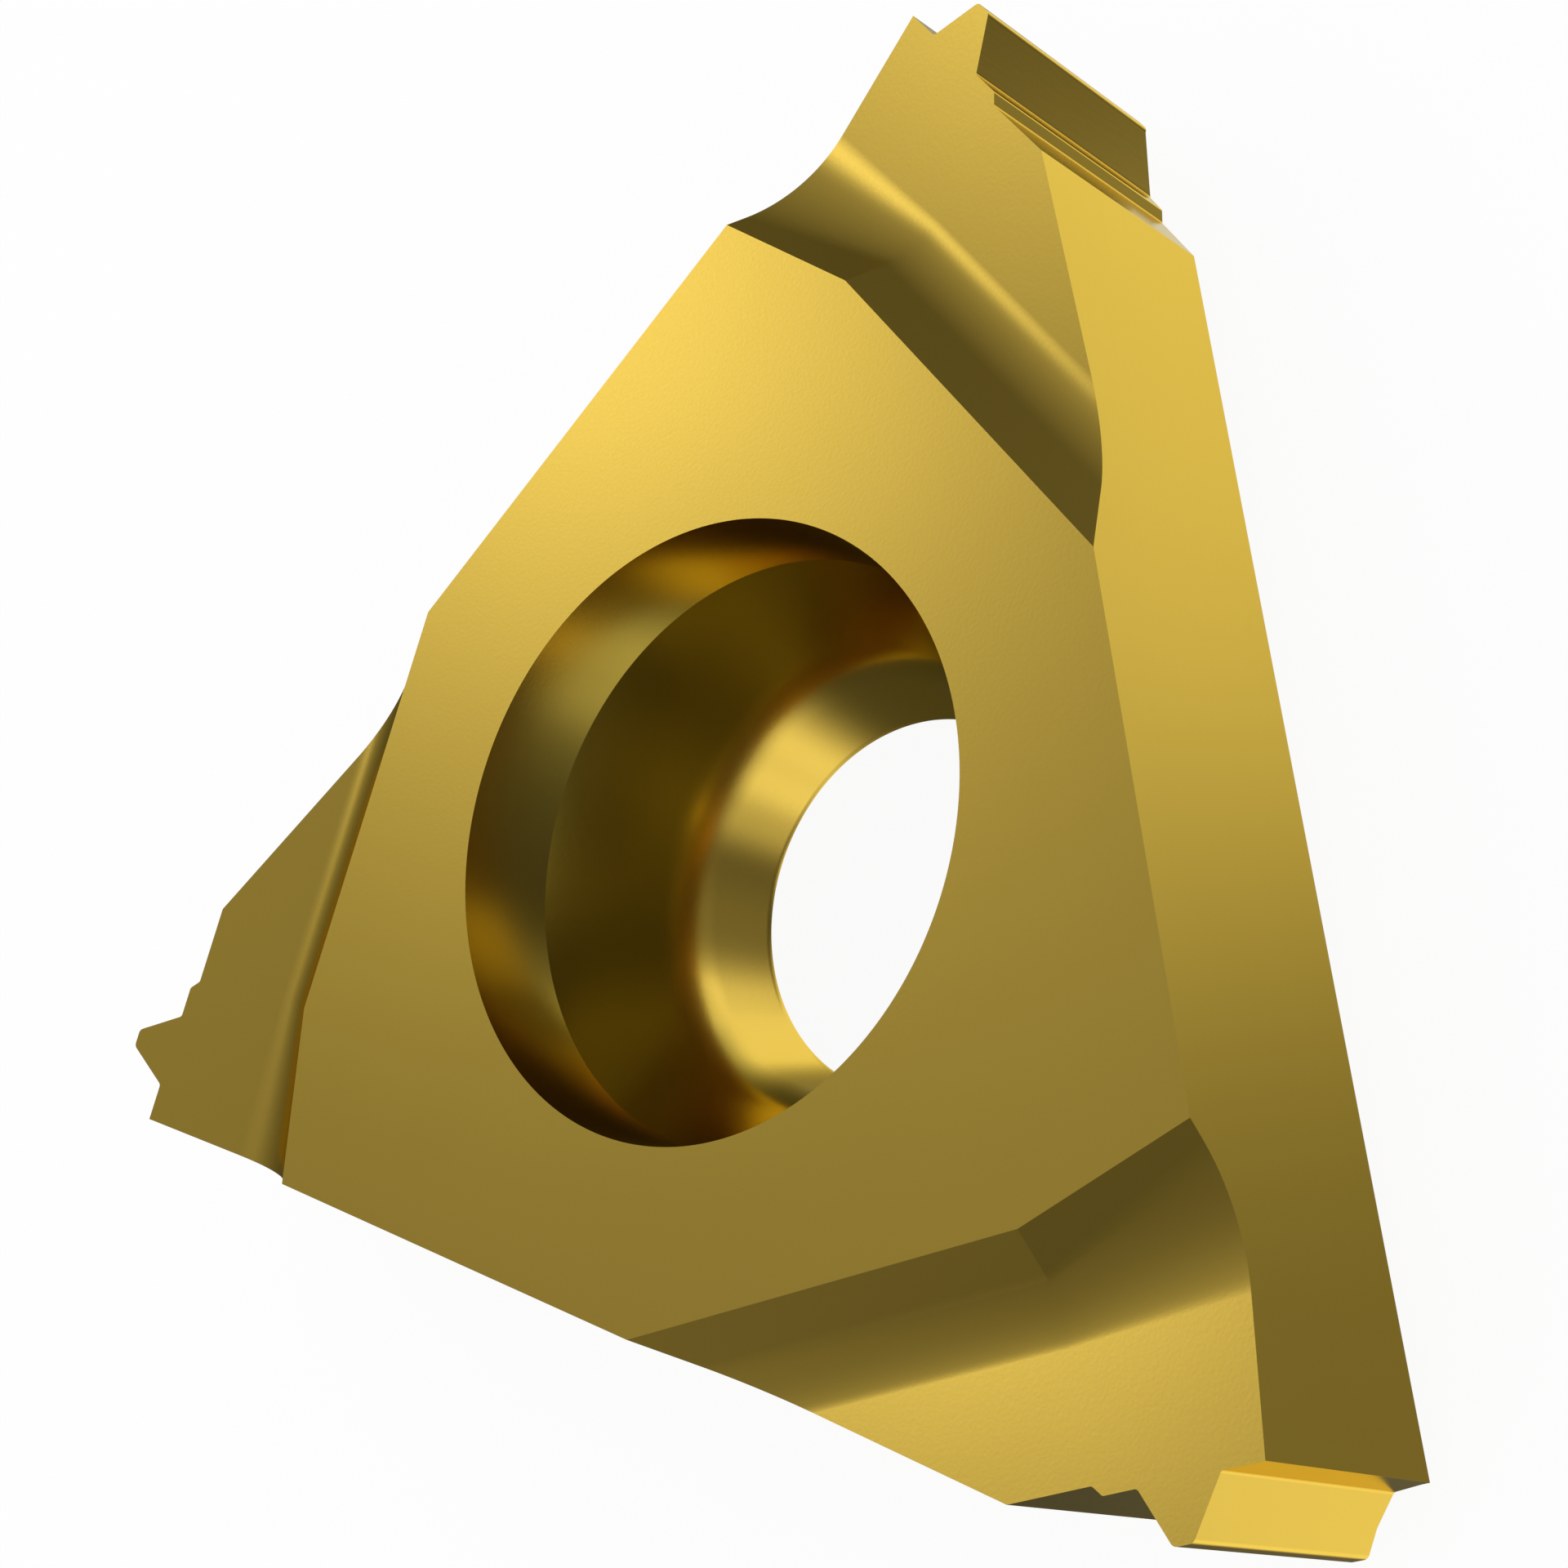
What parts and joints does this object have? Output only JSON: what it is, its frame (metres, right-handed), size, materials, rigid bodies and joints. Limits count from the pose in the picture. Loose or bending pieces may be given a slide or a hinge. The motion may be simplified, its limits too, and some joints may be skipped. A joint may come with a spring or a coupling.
{
  "type": "threading insert",
  "caption": "Flat triangular carbide insert for cutting screw threads, with a stepped screw hole and a ground tooth at each corner.",
  "frame": {"origin": "on the screw hole's axis, in the plane of the flat seat that bears on the holder", "axes": "+Z along the screw hole, from the seat up to the top face that carries the cutting edges; +X the outward normal of one long side face"},
  "size_m": [0.0133, 0.015, 0.0037],
  "materials": {
    "coating": "satin gold nitride coating over pressed and ground carbide"
  },
  "bodies": {
    "root": {"threading_insert": "coating"}
  },
  "joints": []
}
